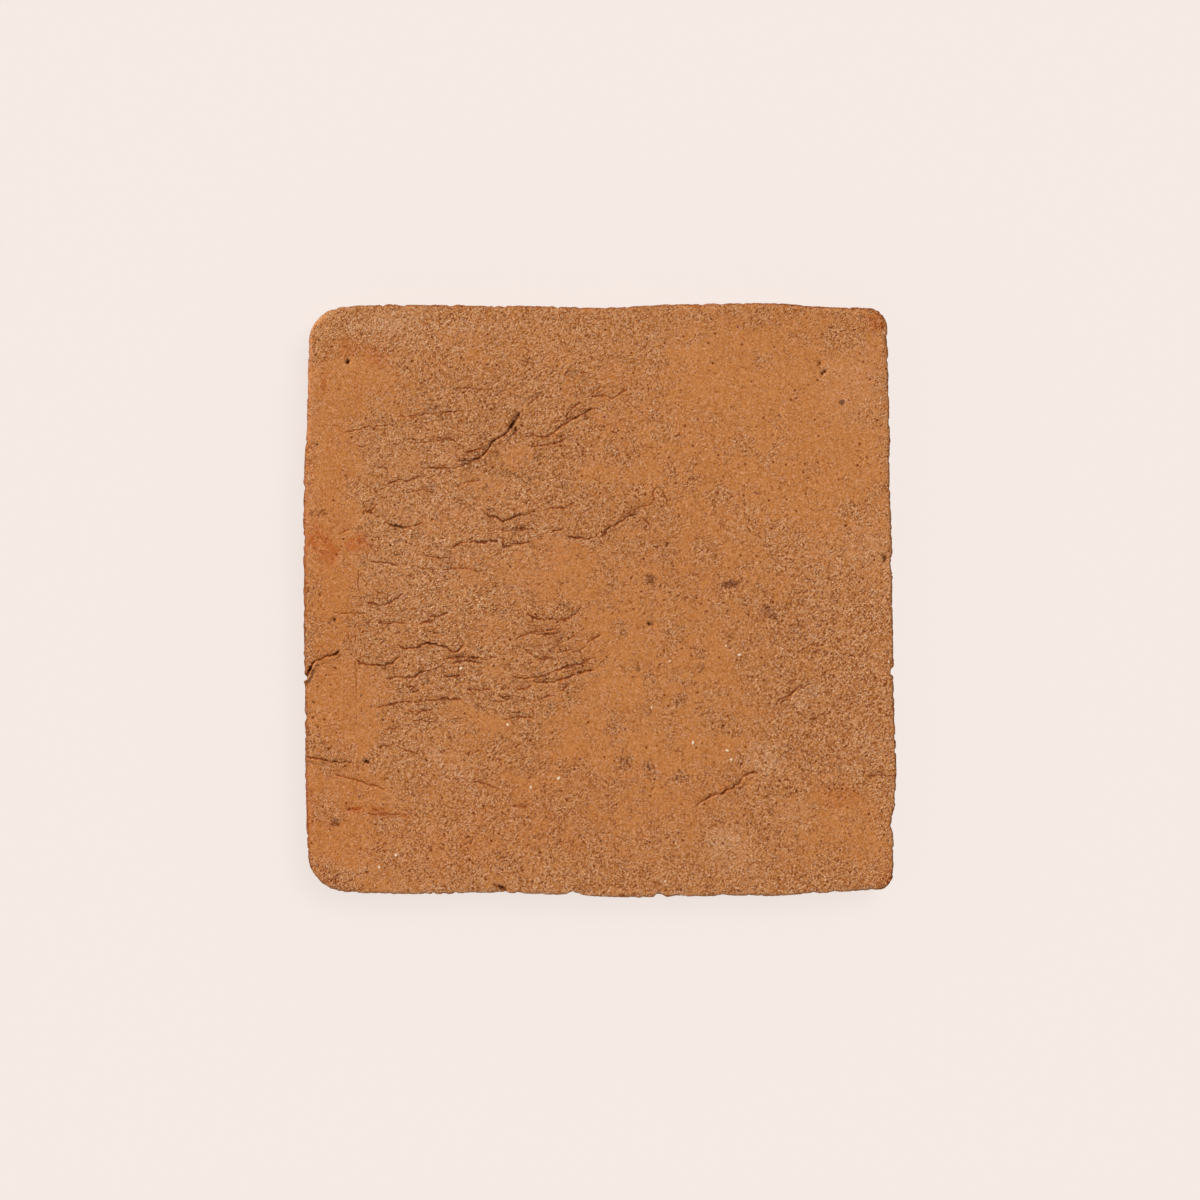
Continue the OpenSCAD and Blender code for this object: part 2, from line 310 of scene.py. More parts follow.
def beside_fold(plan, points):
    """For each point of the plan: its distance from a fold, + on the fold's right and lower side, and
    its place from 0 to 1 along the fold."""
    path = np.array(points, float)
    chord = path[-1] - path[0]
    lower_side = 1 if chord[0] + chord[1] < 0 else -1
    lengths = np.hypot(*np.diff(path, axis=0).T)
    nearest = np.full(len(plan), np.inf)
    side = np.ones(len(plan))
    place = np.zeros(len(plan))
    gone = 0
    for a, b, length in zip(path[:-1], path[1:], lengths):
        share = np.clip((plan - a) @ (b - a) / length ** 2, 0, 1)
        off = plan - a - share[:, None] * (b - a)
        distance = np.hypot(off[:, 0], off[:, 1])
        closer = distance < nearest
        nearest = np.where(closer, distance, nearest)
        left_turn = (b - a)[0] * (plan - a)[:, 1] - (b - a)[1] * (plan - a)[:, 0]
        side = np.where(closer, np.where(left_turn * lower_side >= 0, 1, -1), side)
        place = np.where(closer, (gone + share * length) / lengths.sum(), place)
        gone += length
    return nearest * side, place


def fold_fields(plan):
    """Height of the folds, and the offset from and opening of the nearest one, at each point of the
    plan in mm."""
    warped = wavered(plan)
    height = np.zeros(len(plan))
    offset = np.full(len(plan), fold_reach)
    opening = np.zeros(len(plan))
    for number, (depth, half_gap, points) in enumerate(folds):
        path = np.array(points, float)
        inside = np.all((warped > path.min(0) - fold_reach) & (warped < path.max(0) + fold_reach), axis=1)
        near = np.flatnonzero(inside)
        if not len(near):
            continue
        across, place = beside_fold(warped[near], points)
        from_end = np.minimum(place, 1 - place)
        taper = np.clip(from_end / tapering_share, 0.0, 1)
        # Each fold is stronger and weaker along its run, by a noise of its own.
        run = place * np.hypot(*np.diff(path, axis=0).T).sum()
        patchy = np.array([noise.fractal(Vector((r / patch_length, number * seeds_apart, 0.5)), 0.8, 2.0, 2)
                           for r in run])
        strength = taper * np.clip(1.0 + 0.65 * patchy, 0.35, 1.4)
        gap = np.exp(-(across / (half_gap * 1.1 + 0.06)) ** 2)
        lip = np.exp(-((across - half_gap - 0.5) / 0.45) ** 2)
        slump = np.exp(-np.abs(across) / 1.2) * (across < 0)
        reach = np.abs(across) < fold_reach
        height[near] += strength * reach * depth * (0.45 * lip - 0.75 * gap - 0.08 * slump)
        nearer = np.abs(across) / (half_gap * strength + 0.02) < np.abs(offset[near]) / (opening[near] + 0.02)
        offset[near] = np.where(nearer, across, offset[near])
        opening[near] = np.where(nearer, half_gap * strength, opening[near])
    for x, y, radius, depth in pits:
        away = np.hypot(warped[:, 0] - x, warped[:, 1] - y)
        height -= depth * np.exp(-(away / (radius * 1.15)) ** 2)
        nearer = away / radius < np.abs(offset) / (opening + 0.02)
        offset = np.where(nearer, away, offset)
        opening = np.where(nearer, radius, opening)
    return height, offset, opening


def plan_of(verts):
    """The places of some points of the mesh as seen from above, in mm."""
    return np.array([(v.co.x / MM, v.co.y / MM) for v in verts])


# The mesh is cut finer along the folds, in two steps, each within a band of so many mm beside them,
# so that each groove and lip has cells of its own. Where a fold closes to a hairline it needs none.
hairline = 0.05
slab.normal_update()
for band in (1.3, 0.65):
    top = [v for v in slab.verts if v.normal.z > 0.2]
    plan = plan_of(top)
    _, offset, opening = fold_fields(plan)
    along_fold = (np.abs(offset) < band) & (opening > hairline)
    from_stone = np.min([np.hypot(plan[:, 0] - x, plan[:, 1] - y) - r for x, y, r in stones], axis=0)
    close = {v for v, near in zip(top, along_fold | (from_stone < band / 2)) if near}
    creased = [e for e in slab.edges if e.verts[0] in close and e.verts[1] in close]
    bmesh.ops.subdivide_edges(slab, edges=creased, cuts=1, use_grid_fill=True)
    slab.normal_update()

# A cell with a point in the middle of one side is cut into triangles from that point, so that none
# comes out flat.
straight = math.radians(170)
uneven = [f for f in slab.faces if any(corner.calc_angle() > straight for corner in f.loops)]
bmesh.ops.triangulate(slab, faces=uneven, quad_method='BEAUTY', ngon_method='BEAUTY')


# ---- The struck and sanded face ------------------------------------------------------------
# Dry sand from the frame sticks to the wet clay. Where the maker's hand and the striking board
# wiped it off, smooth orange clay shows.

# Patches: x, y, half width and half depth in mm, turn in degrees, and strength. First, where and how
# clean the face was wiped.
wiped_patches = [
    (57, 58, 38, 38, 0, 0.62), (20, -30, 36, 52, 0, 0.45), (-40, -72, 44, 22, 0, 0.25),
    (10, 62, 22, 32, 0, 0.3), (-91, 26, 8.5, 38, 0, 0.95), (-84, 73, 16, 12, 0, 0.8),
    (-73, 70, 9, 9, 0, 0.5), (-98, 92, 5, 9, -40, 0.9), (-86, -36, 14, 17, 0, 0.8),
    (-95, -65, 5, 9, 0, 0.9), (-87, -82, 12, 9, 0, 0.9), (-85, -65, 14, 9, -10, 0.75),
    (-76, -95, 7, 3.5, -20, 0.65), (-90, 5, 9, 16, 0, 0.85), (44, 76, 24, 19, 0, 0.9),
    (77, 76, 19, 20, 0, 0.8), (30, 52, 12, 9, 0, 0.65), (48, 48, 7, 10, 0, 0.85),
    (74, 48, 19, 16, 0, 0.78), (36, 32, 16, 10, 0, 0.7), (66, 32, 17, 6, 0, 0.75),
    (50, 16, 11, 6, 0, 0.75), (84, 20, 9, 7, 0, 0.4), (10, 70, 12, 24, 0, 0.4),
    (11, 42, 13, 5, 0, 0.68), (86, 48, 9, 34, 0, 0.6), (-8, 8, 11, 9, 0, 0.95),
    (-20, 5, 9, 8, -20, 0.7), (-34, 12, 12, 4, 10, 0.62), (8, -7, 15, 6, 0, 0.8),
    (9, -24, 11, 15, 0, 0.68), (-6, -46, 13, 10, 10, 0.7), (37, -22, 12, 18, 0, 0.58),
    (44, -27, 6, 7, 0, 0.75), (17, -50, 12, 12, 0, 0.7), (12, -62, 8, 4, 0, 0.85),
    (34, -50, 12, 10, 25, 0.58), (18, -70, 20, 9, 0, 0.5), (25, 5, 18, 16, 0, 0.42),
    (-43, -39, 6, 3.5, -15, 0.85), (-30, -28, 5, 2.5, -10, 0.55), (-38, -9, 12, 4, 0, 0.4),
    (-46, -50, 16, 8, -20, 0.4), (-28, -60, 13, 6, -35, 0.5), (-28, -75, 6, 4, 0, 0.5),
    (-62, -68, 12, 7, 0, 0.3), (78, -74, 15, 13, 0, 0.5), (77, -66, 7, 4, 0, 0.7),
    (90, -82, 6, 12, 0, 0.55), (-30, 48, 7, 4, 0, 0.5), (-36, 37, 11, 4, -15, 0.42),
    (-50, 26, 9, 3, 8, 0.5), (-62, 46, 4, 3, 0, 0.45), (-30, 84, 34, 9, 0, 0.25),
    (-70, -15, 10, 3, 0, 0.3), (-75, 8, 6, 5, 0, 0.3), (52, -88, 20, 5, 0, 0.25),
    (-22, -14, 4, 3, 0, 0.35), (78, 30, 18, 13, 0, 0.48), (56, 6, 8, 5, 0, 0.5),
]
# Small patches of sand that the wiping left behind.
sand_clusters = [
    (25.5, -12, 5, 4, 0, 0.65), (33, -18, 2.5, 2, 0, 0.75), (12, -22.5, 3, 2, 20, 0.65),
    (7, -9.5, 3.5, 3, 30, 0.6), (27, -34, 4, 2.6, 20, 0.8), (36, -39, 5, 2.6, -10, 0.7),
    (31, -29, 4, 3, 0, 0.5), (53, -27, 4, 5, 20, 0.75), (17, -27, 3, 3, 0, 0.5),
    (4.5, -43, 2.6, 3, 0, 0.7), (7.5, -55.5, 4.5, 3, 10, 0.85), (17, -58, 2.6, 4, 10, 0.8),
    (27, -60, 3.5, 2, 0, 0.8), (58, -46, 4, 3, 30, 0.7), (38, -31.5, 2, 2, 0, 0.6),
    (46, -19, 3, 4, 0, 0.55), (43, -44, 6, 2, -10, 0.6), (20, -33, 2.5, 3, 0, 0.5),
    (48, 53, 5, 4, 0, 0.5), (20, 56, 4, 4, 0, 0.6), (40, 35, 5, 4, 20, 0.6), (48, 31, 5, 3, 0, 0.6),
    (55, 81, 4, 3, 0, 0.5), (82, 89, 10, 6, 0, 0.6), (84, 30, 5, 4, 0, 0.6), (61, 22, 5, 4, 0, 0.6),
    (52, 11, 8, 3, 0, 0.6), (30, 38, 3, 4, 0, 0.5), (72, 43, 4, 3, 0, 0.4),
]
# Lime that bloomed as the clay dried.
lime_bloom = [
    (-71, 93, 9, 3.5, 0, 0.75), (86, 73, 12, 11, 0, 0.3), (41, -82, 4.5, 4, 0, 1.0),
    (45, -89, 7, 5, 0, 0.5), (55, -54, 6, 5, 20, 0.9), (67, -33.5, 4.5, 2.5, 20, 0.7),
    (89, 17, 7, 6, 0, 0.35), (-98, 60, 1.5, 30, 0, 0.4), (-97, 92, 3.5, 9, -40, 0.9),
    (-92, -92, 8, 3, -48, 0.4), (-48, 20, 34, 30, 0, 0.22), (-40, -25, 35, 15, 0, 0.12),
    (-49, -57, 14, 3.5, -45, 0.5), (-60, 90, 24, 5, 0, 0.3), (66, -72, 5, 4, 0, 0.3),
]
# Clay with more iron, which fired redder.
iron_stains = [
    (-94.8, 20.5, 3.6, 4.6, 20, 1.0), (-92, 15, 2.6, 4.6, -20, 0.9), (-80.5, 19.5, 4.8, 3.2, 0, 0.85),
    (-85.5, 85, 4, 4, 0, 0.5), (-75.5, 82, 3, 5, 0, 0.5), (94, 94, 4, 4, 0, 0.7),
    (96, -95, 4, 4, 0, 0.6), (-98.5, -72, 2, 12, 0, 0.4), (-90, -70, 14, 22, 0, 0.2),
    (-90, -95, 8, 3, -35, 0.45), (-91, 0, 8, 60, 0, 0.17), (-15, -68, 50, 16, 0, 0.12),
    (-60, -84, 26, 8, 0, 0.25), (-98.5, 45, 2, 40, 0, 0.3), (80, -66, 8, 4, 0, 0.4),
]
# Thin smears of a redder clay.
red_streaks = [
    (-82, -70.5, 2.6, 1.0, 0, 0.9), (-75.5, -70.6, 3.5, 0.7, 0, 0.7), (-71.5, -72.3, 9, 1.1, 0, 0.6),
    (-65, -71, 2.5, 0.7, 0, 0.7), (-84.5, -70.6, 1, 0.8, 0, 0.9), (-93.5, 74, 0.8, 5, 0, 0.55),
    (-82, 72, 0.7, 6, 4, 0.4), (-91.5, 84, 0.7, 3, -20, 0.4),
]
# Clots of brown sand and soot.
brown_clots = [
    (17, 7, 2.0, 2.0, 0, 0.9), (43.5, 5.5, 3, 1.6, 0, 1.0), (57.5, -4.5, 3.5, 1.8, -35, 0.7),
    (67, -11, 3, 2, -30, 0.35), (-89.3, -74.9, 1.4, 1.2, 0, 1.0), (8, -55, 2.6, 2, 30, 0.5),
    (17, -56, 2.2, 2, 0, 0.5), (12.3, -22.6, 1.6, 1.2, 0, 0.3), (16.8, -37.6, 1, 1.3, 30, 0.8),
    (27, -34, 2, 1.5, 40, 0.5), (4, -43, 1.8, 1.4, 0, 0.5), (33.7, -23, 2, 1.6, 20, 0.5),
    (19.9, -23.1, 0.8, 0.8, 0, 0.9), (44, -12, 2.4, 1.6, -30, 0.4), (-32, -88, 5, 3, 0, 0.25),
    (28, -59.5, 3, 1.6, 0, 0.45), (-95, 29, 3, 1.5, 0, 0.5), (-93, -92, 9, 3, -48, 0.35),
    (96.5, -96, 4, 3, 45, 0.18),
]


def smooth(low_end, high_end, x):
    """0 before low_end and 1 past high_end, with a smooth change between them."""
    t = np.clip((x - low_end) / (high_end - low_end), 0, 1)
    return t * t * (3 - 2 * t)


def ragged(plan, length, seed, octaves=4):
    """A seeded noise from about -1 to 1 over the plan, with features of one length in mm."""
    return np.array([noise.fractal(Vector((x / length, y / length, seed)), 0.8, 2.0, octaves)
                     for x, y in plan])


def patches(plan, places, fade, fray):
    """How strongly some frayed, soft-edged patches cover each point, from 0 to 1; fade and fray are in mm."""
    bare = np.ones(len(plan))
    for x, y, half_w, half_d, turn, strength in places:
        c, s = math.cos(math.radians(turn)), math.sin(math.radians(turn))
        u = ((plan[:, 0] - x) * c + (plan[:, 1] - y) * s) / half_w
        v = ((plan[:, 1] - y) * c - (plan[:, 0] - x) * s) / half_d
        inside = (1 - np.hypot(u, v)) * min(half_w, half_d)
        soft = max(fade, 0.5 * min(half_w, half_d))
        bare = np.minimum(bare, 1 - strength * smooth(-soft, soft, inside + fray))
    return 1 - bare


slab.normal_update()
verts = list(slab.verts)
plan = plan_of(verts)
up = np.array([v.normal.z for v in verts])
height_mm = np.array([(v.co.z - low.z) / MM for v in verts])
on_top = smooth(0.25, 0.75, up)
on_side = smooth(0.75, 0.25, np.abs(up)) * smooth(0.3, 2.0, height_mm)

# How thickly sand covers the clay, from 0 to 1: on the face, and on the sides and underside.
sand_on_face = 0.86
sand_wiped_off = 0.9
sand_on_sides = 0.62
torn_edges = ragged(plan, 11, seed=1.5)
left_behind = patches(plan, sand_clusters, 1.0, 1.6 * ragged(plan, 2.6, seed=60.0))
sand = sand_on_face - sand_wiped_off * patches(plan, wiped_patches, 7, 6 * torn_edges)
sand = np.clip(sand + 0.08 * ragged(plan, 5, seed=9.5), 0, 1)
sand = np.clip(np.maximum(sand, 1.3 * left_behind), 0, 1)
sand = on_top * sand + (1 - on_top) * np.clip(sand_on_sides + 0.3 * torn_edges, 0, 1)
lime_and_painted_light = patches(plan, lime_bloom, 2.5, 3 * torn_edges)
iron = patches(plan, iron_stains, 1.2, 2.2 * ragged(plan, 4, seed=14.5))
iron = np.maximum(iron, patches(plan, red_streaks, 0.3, 0.6 * ragged(plan, 1.3, seed=8.5)))
brown = patches(plan, brown_clots, 0.6, 0.8 * ragged(plan, 1.6, seed=4.5))

# A fold's groove runs on down the side and closes before the foot; its lip stays on the face.
fold_height, fold_offset, fold_opening = fold_fields(plan)
down_side = on_top + on_side * smooth(5, 18, height_mm)
relief = np.where(fold_height > 0, fold_height * on_top, fold_height * down_side)
quartz_share, pebble_share = stone_fields(plan)
relief += stone_rise * (quartz_share + pebble_share)
fold_opening = fold_opening * down_side

# Where the torn skin is wrinkled, and where its wrinkles slant up to the right.
wrinkled_patches = [(-38, 2, 48, 46, 0, 1.0), (-30, 58, 42, 20, 15, 0.8), (70, -35, 30, 36, 0, 0.5)]
slanting_patches = [(-8, 62, 34, 24, 0, 1.0), (-8, -24, 14, 16, 0, 1.0), (72, -34, 30, 34, 0, 1.0)]
wrinkled = patches(plan, wrinkled_patches, 9, 7 * torn_edges)
slanting = patches(plan, slanting_patches, 6, 4 * torn_edges)


def crease_lines(plan, turn, seed):
    """A seeded noise drawn out along one direction, which is turned so many degrees from left to right."""
    c, s = math.cos(math.radians(turn)), math.sin(math.radians(turn))
    along, across = plan @ (c, s), plan @ (-s, c)
    bend = ragged(plan, 16, seed + 3, 2)
    return np.array([noise.fractal(Vector((u / 11, v / 3.4 + 1.5 * b, seed)), 0.9, 2.0, 3)
                     for u, v, b in zip(along, across, bend)])


# Heights over the face in mm: long swells, grit where the face is wiped and where it is sandy, the
# wrinkles of the torn skin, and crumbs beside the folds.
swell_height = 0.05
wiped_grit = 0.02
sandy_grit = 0.04
crease_height = 0.09
crumb_height = 0.10
grit_length = 1.7 * MM
crumb_length = 0.8 * MM
creases = np.where(slanting > 0.5, crease_lines(plan, 32, 21.0), crease_lines(plan, 0, 27.0))
crease_depth = wrinkled * on_top * smooth(-0.25, 0.3, ragged(plan, 6, seed=40.0))
swells = np.array([noise.fractal(Vector((x / 14, y / 9, 33.0)), 1.0, 2.0, 3) for x, y in plan])
grit = np.array([noise.fractal(Vector(v.co) / grit_length, 0.9, 2.0, 3) for v in verts])
crumbs = np.array([noise.fractal(Vector(v.co) / crumb_length, 0.8, 2.0, 2) for v in verts])
crumbs = smooth(1.5, 0.4, np.abs(fold_offset)) * crumbs
relief += on_top * (swell_height * swells + (wiped_grit + sandy_grit * sand) * grit)
relief += crease_depth * crease_height * creases + on_top * crumb_height * crumbs

# The sides were pressed against the sanded boards: short drag marks along them, and coarser grit.
# The arris is nibbled, more in some stretches than in others. Heights are in mm.
drag_height = 0.16
side_grit = 0.12
nibble_depth = 0.62
nibble_swell = 0.12
drag_length = 6 * MM
drag_thickness = 1.8 * MM
nibble_length = 2.6 * MM
drag = np.array([noise.fractal(Vector((v.co.x / drag_length, v.co.y / drag_length, v.co.z / drag_thickness)),
                               0.9, 2.0, 4) for v in verts])
nibbles = np.array([noise.fractal(Vector((v.co.x, v.co.y, v.co.z * 0.3)) / nibble_length, 0.8, 2.0, 4)
                    for v in verts])
on_arris = np.clip(1 - on_top - smooth(0.45, 0.15, np.abs(up)), 0, 1) * (height_mm > 10)
chipped = 0.5 + 1.3 * smooth(-0.2, 0.5, ragged(plan, 16, 51.0, 2)) - 0.2 * (plan[:, 0] < -90)
pushed_out = 0.1 + 0.17 * smooth(-93, -97, plan[:, 0]) + 0.13 * smooth(-93, -97, plan[:, 1])
bitten = chipped * (nibble_depth * np.maximum(nibbles, 0) + nibble_swell * nibbles)
relief += on_side * (drag_height * drag + side_grit * grit) + (on_side + on_arris) * (pushed_out - bitten)

# The upper edge is darker and redder where hands, boards and the kiln's stacking touched it, and
# paler at the worn back-left corner. Along the right arris the darkening is painted shade; the front
# edge is painted paler and the front side less dark, which is painted light on the shaded front.
# Places are in mm from the middle.
past_edge = smooth(0.995, 0.8, up) * smooth(14, 19, height_mm + 1.5 * drag)
left_edge = 0.65 * smooth(-96, -98.5, plan[:, 0]) * smooth(60, 30, plan[:, 1])
back_edge = smooth(96, 98, plan[:, 1]) * (0.5 + 0.4 * smooth(50, 65, plan[:, 0]))
# Painted shade along the right arris.
right_painted_shade = 0.25 * smooth(96, 98.5, plan[:, 0])
# Painted light: the shaded front edge is made paler.
front_painted_light = smooth(-94, -97, plan[:, 1]) * past_edge
worn_corner = smooth(165, 180, plan[:, 1] - plan[:, 0]) * past_edge
# The lime's paleness also carries the painted light of the front edge.
lime_and_painted_light = np.maximum(lime_and_painted_light, np.maximum(front_painted_light, worn_corner))
# The sides are darker with grime, less so along the front: painted light on the shaded front side.
side_grime_and_painted_light = (0.35 - 0.2 * smooth(-94, -97, plan[:, 1])) * on_side
grime_and_painted_shade = np.clip(past_edge * np.maximum(np.maximum(left_edge, back_edge), right_painted_shade) + side_grime_and_painted_light, 0, 1)

# The relief lifts each point straight out of the face or the side that it is on.
normals = [v.normal.copy() for v in verts]
for v, n, rise in zip(verts, normals, relief):
    v.co += n * float(rise) * MM

mesh = bpy.data.meshes.new("terracotta_tile")
slab.to_mesh(mesh)
slab.free()
tile = bpy.data.objects.new("terracotta_tile", mesh)
bpy.context.scene.collection.objects.link(tile)
mesh.shade_smooth()
for name, values in (("sand", sand), ("lime_and_painted_light", lime_and_painted_light), ("iron", iron), ("brown", brown),
                     ("fold_offset", fold_offset), ("fold_opening", fold_opening),
                     ("crease_depth", crease_depth), ("grime_and_painted_shade", grime_and_painted_shade), ("slanting", slanting),
                     ("quartz", quartz_share), ("pebble", pebble_share)):
    mesh.attributes.new(name, "FLOAT", "POINT").data.foreach_set("value", values.astype(np.float32))
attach(tile, "root")
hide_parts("tile")


# ---- The fired clay ------------------------------------------------------------------------
# Low-fired, unglazed and matt. Orange iron-bearing clay with a skin of tan and brown sand,
# pores painted dark with their shade, white quartz grains, red iron stains and a faint pale bloom of lime.

fired_clay = bpy.data.materials.new("fired_clay")
fired_clay.use_nodes = True
clay_tree = fired_clay.node_tree
clay_tree.nodes.clear()


def add(kind, inputs, tree=clay_tree, **settings):
    """Adds a node to a material, with numbers, colours or other nodes' outputs as its inputs."""
    made = tree.nodes.new("ShaderNode" + kind)
    for name, value in settings.items():
        setattr(made, name, value)
    for key, value in inputs.items():
        if isinstance(value, bpy.types.NodeSocket):
            tree.links.new(value, made.inputs[key])
        else:
            made.inputs[key].default_value = value
    return made


def attribute(name):
    """One of the face's own values, as stored on the mesh above."""
    return add("Attribute", {}, attribute_name=name).outputs["Fac"]


def maths(operation, *values):
    return add("Math", dict(enumerate(values)), operation=operation).outputs[0]


def between(value, start, end):
    """0 before start and 1 past end, with a smooth change between them; start may be the higher one."""
    ends = {"Value": value, "From Min": start, "From Max": end}
    return add("MapRange", ends, interpolation_type="SMOOTHSTEP").outputs[0]


def blend(share, first, second):
    return add("Mix", {0: share, 6: first, 7: second}, data_type="RGBA").outputs[2]


def srgb(r, g, b):
    """A colour as a paint chart gives it, from 0 to 255, in the linear numbers of a shader."""
    shares = (r / 255, g / 255, b / 255)
    return tuple(c / 12.92 if c <= 0.04045 else ((c + 0.055) / 1.055) ** 2.4 for c in shares) + (1,)


position = add("TexCoord", {}).outputs["Object"]
mm_per_metre = 1000
in_mm = add("Mapping", {"Vector": position, "Scale": (mm_per_metre,) * 3}).outputs[0]


def cloud(size_mm, detail=2.0, roughness=0.5, space=in_mm):
    """A noise whose features are about one size, in mm unless another space is given."""
    look = {"Vector": space, "Scale": 1 / size_mm, "Detail": detail, "Roughness": roughness}
    return add("TexNoise", look).outputs["Fac"]


def grains(size_mm, feature="F1"):
    """The clay's space, shared out among grains of about one size in mm."""
    return add("TexVoronoi", {"Vector": in_mm, "Scale": 1 / size_mm}, feature=feature)


def lot(cells, which):
    """A number from 0 to 1 drawn for each grain; each of the three draws is independent."""
    return add("SeparateColor", {"Color": cells.outputs["Color"]}).outputs[which]


# The sand lies in clusters with torn edges, closer together where more of it stuck.
torn_skin = maths("SUBTRACT", cloud(2.6, 7, 0.85), 0.5)
clusters = maths("SUBTRACT", cloud(6.5, 6, 0.7), 0.5)
density = maths("MULTIPLY_ADD", clusters, 2.1, attribute("sand"))
sand_cover = between(maths("MULTIPLY_ADD", torn_skin, 2.4, density), 0.20, 0.95)

# Wiped clay: a fine paste, orange with faint browner and pinker clouds.
clay = blend(cloud(24, 3), srgb(182, 114, 59), srgb(190, 124, 67))
clay = blend(between(cloud(3.5, 4, 0.6), 0.4, 0.75), clay, srgb(182, 113, 59))
# Lime bloom makes the clay paler, and so does the painted light on the shaded front edge.
bloom_and_painted_light = maths("MULTIPLY", attribute("lime_and_painted_light"), between(cloud(2.2, 5, 0.75), 0.36, 0.6))
clay = blend(maths("MULTIPLY", bloom_and_painted_light, 0.55), clay, srgb(208, 160, 126))

# Each grain of sand is a flat-faced crystal: one tone, turned its own way, with painted shade in the gap
# round it.
grain_size = 0.45
grain = grains(grain_size)
grain_tone = lot(grain, 2)
grain_kind = add("TexWhiteNoise", {"Vector": grain.outputs["Position"]}).outputs["Value"]
gap_round_grain = grains(grain_size, "DISTANCE_TO_EDGE").outputs["Distance"]
sand_colour = add("ValToRGB", {"Fac": maths("MULTIPLY_ADD", bloom_and_painted_light, 0.4, grain_tone)})
ramp = sand_colour.color_ramp
ramp.elements[0].color = srgb(126, 56, 18)
ramp.elements[1].color = srgb(231, 184, 141)
for place, tone in ((0.16, srgb(184, 113, 57)), (0.5, srgb(209, 144, 87)), (0.86, srgb(219, 159, 108))):
    ramp.elements.new(place).color = tone
pinkish = maths("MULTIPLY", between(grain_kind, 0.7, 0.75), 0.3)
reddish = maths("MULTIPLY", between(grain_kind, 0.22, 0.17), 0.3)
sand_skin = blend(pinkish, sand_colour.outputs[0], srgb(198, 134, 92))
sand_skin = blend(reddish, sand_skin, srgb(184, 108, 64))

# The grit lies in short streaks, pushed up to the right by the hand that spread the clay.
streak_turn = (0, 0, math.radians(40))
streak_size = (2.1 * MM, MM, MM)
streaked = add("Mapping", {"Vector": position, "Rotation": streak_turn, "Scale": streak_size},
               vector_type="TEXTURE").outputs[0]
grit_form = cloud(0.4, 2.0, 0.6, streaked)
# Painted shade: the low places of the grit and the gaps round the grains are painted dark red-brown, in the
# sandy skin and in the wiped clay.
crevice_shade = between(grit_form, 0.44, 0.34)
gap = maths("MULTIPLY", between(gap_round_grain, 0.10, 0.02), between(cloud(1.3, 2), 0.5, 0.62))
sand_skin = blend(maths("MULTIPLY", maths("MAXIMUM", crevice_shade, gap), 0.9), sand_skin, srgb(118, 44, 8))
clay = blend(maths("MULTIPLY", crevice_shade, 0.5), clay, srgb(134, 58, 16))
colour = blend(maths("MULTIPLY_ADD", sand_cover, 0.74, 0.17), clay, sand_skin)

# Small pores and larger holes where fine straw and lumps burnt out. Each is the middle of a grain's
# space, in some of the grains; the holes are more common where the skin is sandy.
pores = grains(1.4)
pore = maths("MULTIPLY", between(pores.outputs["Distance"], 0.22, 0.12), between(lot(pores, 1), 0.68, 0.74))
holes = grains(3.1)
hole_lot = maths("MULTIPLY_ADD", density, 0.35, lot(holes, 1))
hole = maths("MULTIPLY", between(holes.outputs["Distance"], 0.17, 0.1), between(hole_lot, 0.5, 0.55))
pore = maths("MAXIMUM", pore, hole)
# The pores and holes are painted dark red-brown: painted shade inside them.
colour = blend(maths("MULTIPLY", pore, 0.85), colour, srgb(112, 46, 8))

# Coarse pale grains, more on a fold's lower lip as a painted highlight, and a few bright grains of quartz.
coarse = grains(1.1)
# Painted highlight: more pale grains on the lit lip below each fold.
lip_highlight = between(attribute("fold_offset"), 1.8, 0.5)
lip_highlight = maths("MULTIPLY", lip_highlight, between(attribute("fold_offset"), 0.1, 0.4))
coarse_lot = maths("MULTIPLY_ADD", lip_highlight, 0.3, lot(coarse, 0))
coarse_grain = maths("MULTIPLY", between(coarse.outputs["Distance"], 0.26, 0.18),
                     between(coarse_lot, 0.86, 0.9))
coarse_grain = maths("MULTIPLY", coarse_grain, maths("MULTIPLY_ADD", sand_cover, 0.45, 0.06))
colour = blend(coarse_grain, colour, srgb(218, 172, 136))
# The small quartz grains are white; their brightness is partly a painted glint.
quartz = grains(2.6)
bright = maths("MULTIPLY", between(quartz.outputs["Distance"], 0.15, 0.1),
               between(lot(quartz, 2), 0.84, 0.88))
colour = blend(maths("MULTIPLY", bright, 0.8), colour, srgb(246, 222, 192))


def stained(share, under, tint):
    """A thin stain: it darkens what lies under it and lets the grain show through."""
    return add("Mix", {0: share, 6: under, 7: tint}, data_type="RGBA", blend_type="MULTIPLY").outputs[2]


# Stains of rust, clots of brown sand, and grime on the handled edges, with painted shade along the right
# arris.
rust = maths("MULTIPLY", attribute("iron"), between(cloud(2.6, 5, 0.7), 0.3, 0.58))
colour = stained(rust, colour, (0.86, 0.54, 0.32, 1))
lumpy = maths("SUBTRACT", cloud(1.1, 4, 0.7), 0.5)
clot = between(maths("MULTIPLY_ADD", lumpy, 3.4, attribute("brown")), 0.3, 0.7)
colour = stained(maths("MULTIPLY", clot, 0.9), colour, (0.45, 0.35, 0.31, 1))
colour = stained(attribute("grime_and_painted_shade"), colour, (0.55, 0.42, 0.36, 1))

